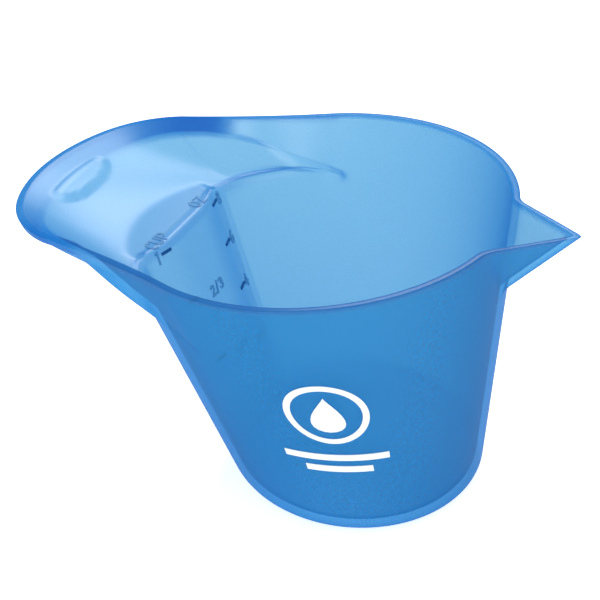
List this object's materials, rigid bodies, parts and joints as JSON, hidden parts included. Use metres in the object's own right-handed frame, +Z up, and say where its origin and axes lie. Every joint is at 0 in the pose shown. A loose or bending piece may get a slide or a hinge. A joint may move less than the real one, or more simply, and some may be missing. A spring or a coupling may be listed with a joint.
{
  "type": "measuring and mixing bowl",
  "caption": "Translucent blue measuring and colour-mixing bowl with a pouring beak, a scoop-shaped grip and a sloping inside scale.",
  "frame": {"origin": "centre of the bounding box, on the plane that the bowl stands on", "axes": "+X towards the pouring beak, the longest way; +Z up, the shortest way; y = 0 is the mirror plane of the moulding"},
  "size_m": [0.1434, 0.099, 0.0796],
  "materials": {
    "translucent_shell": "translucent, moulded, glossy outside and finely grained inside",
    "printed_ink": "pad-printed white ink"
  },
  "bodies": {
    "root": {"cup_floor": "translucent_shell", "scale_ramp": "translucent_shell", "scoop_grip": "translucent_shell", "pour_beak": "translucent_shell", "cup_wall": "translucent_shell", "thumb_rest": "translucent_shell", "tick_8_oz": "translucent_shell", "numeral_8_oz": "translucent_shell", "tick_6_oz": "translucent_shell", "numeral_6_oz": "translucent_shell", "tick_4_oz": "translucent_shell", "numeral_4_oz": "translucent_shell", "tick_2_oz": "translucent_shell", "numeral_2_oz": "translucent_shell", "tick_1_cup": "translucent_shell", "numeral_1_cup": "translucent_shell", "tick_2_3_cup": "translucent_shell", "numeral_2_3_over": "translucent_shell", "slash_2_3": "translucent_shell", "numeral_2_3_under": "translucent_shell", "tick_1_3_cup": "translucent_shell", "numeral_1_3_over": "translucent_shell", "slash_1_3": "translucent_shell", "numeral_1_3_under": "translucent_shell", "letter_C": "translucent_shell", "letter_U": "translucent_shell", "letter_P": "translucent_shell", "letter_O": "translucent_shell", "letter_Z": "translucent_shell", "print_ring": "printed_ink", "print_drop": "printed_ink", "print_bar_upper": "printed_ink", "print_bar_lower": "printed_ink"}
  },
  "joints": []
}
